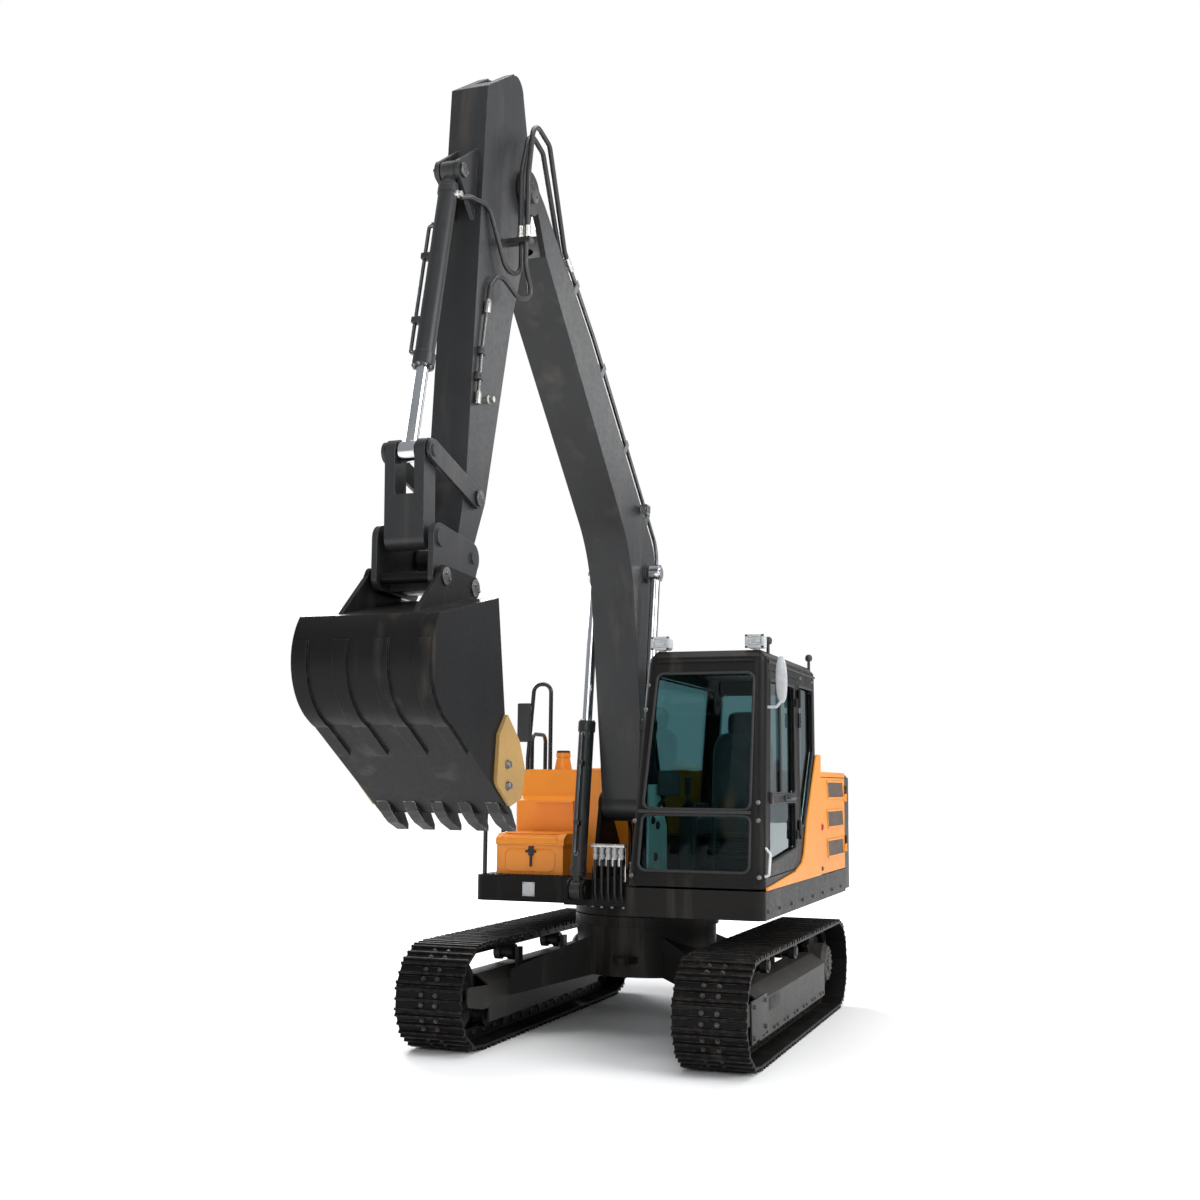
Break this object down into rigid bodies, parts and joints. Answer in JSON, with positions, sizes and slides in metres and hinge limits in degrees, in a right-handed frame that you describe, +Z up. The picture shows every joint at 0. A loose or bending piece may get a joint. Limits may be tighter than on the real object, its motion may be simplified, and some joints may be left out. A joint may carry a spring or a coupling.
{
  "type": "crawler excavator",
  "caption": "Hydraulic crawler excavator with steel tracks, a slewing house with cab, a bent boom, a stick, a quick coupler and a toothed digging bucket.",
  "frame": {"origin": "on the ground under the slewing axis, midway between the tracks", "axes": "+X forward over the idlers, towards the bucket; +Y to the machine's left, the cab side; +Z up"},
  "size_m": [6.888, 2.647, 6.3],
  "materials": {
    "yellow_paint": "satin orange-yellow paint",
    "grey_paint": "satin grey paint",
    "dark_paint": "dark brown-grey paint",
    "cab_paint": null,
    "frame_paint": "mid grey paint on the track frames",
    "track_steel": "worn dark steel with bright edges",
    "wear_steel": "dark abraded steel",
    "chrome_rod": "ground chrome",
    "pin_steel": "machined steel",
    "cast_weight": "dark painted casting",
    "engine_grey": null,
    "glass": "tinted glass",
    "rubber": "black rubber",
    "black_plastic": "black plastic",
    "seat_fabric": "dark fabric",
    "black_steel": "black paint",
    "ochre_paint": "worn ochre paint on the bolted cutting plates",
    "lamp_white": "lamp housings"
  },
  "bodies": {
    "undercarriage": {"track_left": "track_steel", "track_right": "track_steel", "track_frame_left": "frame_paint", "track_frame_right": "frame_paint", "track_rollers": "track_steel", "idlers": "track_steel", "sprockets": "wear_steel", "final_drives": "frame_paint", "car_body": "dark_paint", "slew_ring": "pin_steel"},
    "house": {"platform": "dark_paint", "house_pins": "pin_steel", "counterweight": "cast_weight", "engine": "engine_grey", "engine_housing": "yellow_paint", "fuel_tank": "yellow_paint", "side_trim": "yellow_paint", "hydraulic_tank": "yellow_paint", "toolbox": "yellow_paint", "cab_floor": "cab_paint", "cab_front": "cab_paint", "cab_rear_wall": "cab_paint", "cab_left_wall": "cab_paint", "cab_right_wall": "cab_paint", "cab_roof": "cab_paint", "cab_glass": "glass", "cab_mounts": "rubber", "seat": "seat_fabric", "controls": "black_plastic", "handrails": "black_steel", "work_lamps": "lamp_white", "mirrors": "lamp_white", "exhaust": "black_steel", "boom_hoses": "rubber"},
    "boom": {"boom": "grey_paint", "boom_pins": "pin_steel", "boom_fittings": "grey_paint", "stick_hoses": "rubber"},
    "stick": {"stick": "grey_paint", "stick_pins": "pin_steel"},
    "boom_barrels": {"boom_cylinder_barrels": "grey_paint"},
    "boom_rods": {"boom_cylinder_rods": "chrome_rod"},
    "stick_barrel": {"stick_cylinder_barrel": "grey_paint"},
    "stick_rod": {"stick_cylinder_rod": "chrome_rod"},
    "bucket_barrel": {"bucket_cylinder_barrel": "grey_paint"},
    "bucket_rod": {"bucket_cylinder_rod": "chrome_rod"},
    "rocker": {"rocker": "grey_paint"},
    "link": {"bucket_link": "grey_paint"},
    "bucket": {"coupler": "wear_steel", "bucket": "wear_steel", "bucket_teeth": "wear_steel", "side_cutters": "ochre_paint"},
    "cab_door": {"cab_door": "cab_paint", "door_glass": "glass"},
    "engine_hood": {"engine_hood": "yellow_paint"},
    "left_side_door": {"left_side_door": "yellow_paint"},
    "right_side_door": {"right_side_door": "yellow_paint"},
    "toolbox_lid": {"toolbox_lid": "yellow_paint"}
  },
  "joints": [
    {"name": "slew", "type": "hinge", "parent": "undercarriage", "child": "house", "pos_m": [0, 0, 0.872], "axis": [0, 0, 1], "continuous": true},
    {"name": "boom_lift", "type": "hinge", "parent": "house", "child": "boom", "pos_m": [0.35, -0.05, 1.7], "axis": [0, -1, 0], "range_deg": [-84, 14], "deforming": ["boom_hoses"]},
    {"name": "stick_swing", "type": "hinge", "parent": "boom", "child": "stick", "pos_m": [2.88, -0.05, 5.58], "axis": [0, 1, 0], "range_deg": [-100, 15], "deforming": ["stick_hoses"]},
    {"name": "bucket_curl", "type": "hinge", "parent": "stick", "child": "bucket", "pos_m": [3.68, -0.05, 3.11], "axis": [0, -1, 0], "range_deg": [-100, 45]},
    {"name": "boom_barrels_turn", "type": "hinge", "parent": "house", "child": "boom_barrels", "pos_m": [0.79, -0.05, 1.08], "axis": [0, -1, 0], "range_deg": [-67.7, 11.7]},
    {"name": "boom_rods_slide", "type": "slide", "parent": "boom_barrels", "child": "boom_rods", "axis": [-0.1403, 0, 0.9901], "range_m": [-0.86799, 0.14716]},
    {"name": "stick_barrel_turn", "type": "hinge", "parent": "boom", "child": "stick_barrel", "pos_m": [0.92, -0.05, 4.42], "axis": [0, -1, 0], "range_deg": [-1.4, 6.5]},
    {"name": "stick_rod_slide", "type": "slide", "parent": "stick_barrel", "child": "stick_rod", "axis": [0.7628, 0, 0.6466], "range_m": [-0.96293, 0.14699]},
    {"name": "rocker_turn", "type": "hinge", "parent": "stick", "child": "rocker", "pos_m": [3.54, -0.05, 3.48], "axis": [0, -1, 0], "range_deg": [-67.5, 30.65]},
    {"name": "link_turn", "type": "hinge", "parent": "rocker", "child": "link", "pos_m": [4.115, -0.05, 3.635], "axis": [0, -1, 0], "range_deg": [-19.4, 42.5]},
    {"name": "bucket_barrel_turn", "type": "hinge", "parent": "stick", "child": "bucket_barrel", "pos_m": [3.7, -0.05, 5.4], "axis": [0, -1, 0], "range_deg": [-5.2, 2.62]},
    {"name": "bucket_rod_slide", "type": "slide", "parent": "bucket_barrel", "child": "bucket_rod", "axis": [0.2289, 0, -0.9735], "range_m": [-0.29752, 0.6575]},
    {"name": "cab_door_hinge", "type": "hinge", "parent": "house", "child": "cab_door", "pos_m": [0.199, 1.259, 2], "axis": [0, 0, 1], "range_deg": [0, 160]},
    {"name": "hood_hinge", "type": "hinge", "parent": "house", "child": "engine_hood", "pos_m": [-0.62, 0.47, 1.975], "axis": [0, 1, 0], "range_deg": [0, 60]},
    {"name": "left_side_door_hinge", "type": "hinge", "parent": "house", "child": "left_side_door", "pos_m": [-1.786, 1.257, 1.5], "axis": [0, 0, 1], "range_deg": [0, 110]},
    {"name": "right_side_door_hinge", "type": "hinge", "parent": "house", "child": "right_side_door", "pos_m": [-1.786, -1.257, 1.5], "axis": [0, 0, -1], "range_deg": [0, 110]},
    {"name": "toolbox_lid_hinge", "type": "hinge", "parent": "house", "child": "toolbox_lid", "pos_m": [-0.0137, -0.85, 1.47], "axis": [0, -1, 0], "range_deg": [0, 75]}
  ],
  "couplings": [
    {"joint": "boom_barrels_turn", "follows": "boom_lift", "ratio": 0.8},
    {"joint": "boom_rods_slide", "follows": "boom_lift", "m_per_rad": 0.59},
    {"joint": "stick_barrel_turn", "follows": "stick_swing", "ratio": -0.06},
    {"joint": "stick_rod_slide", "follows": "stick_swing", "m_per_rad": 0.55},
    {"joint": "rocker_turn", "follows": "bucket_curl", "ratio": 0.67},
    {"joint": "link_turn", "follows": "bucket_curl", "ratio": -0.42},
    {"joint": "bucket_barrel_turn", "follows": "bucket_curl", "ratio": 0.047},
    {"joint": "bucket_rod_slide", "follows": "bucket_curl", "m_per_rad": -0.375}
  ]
}
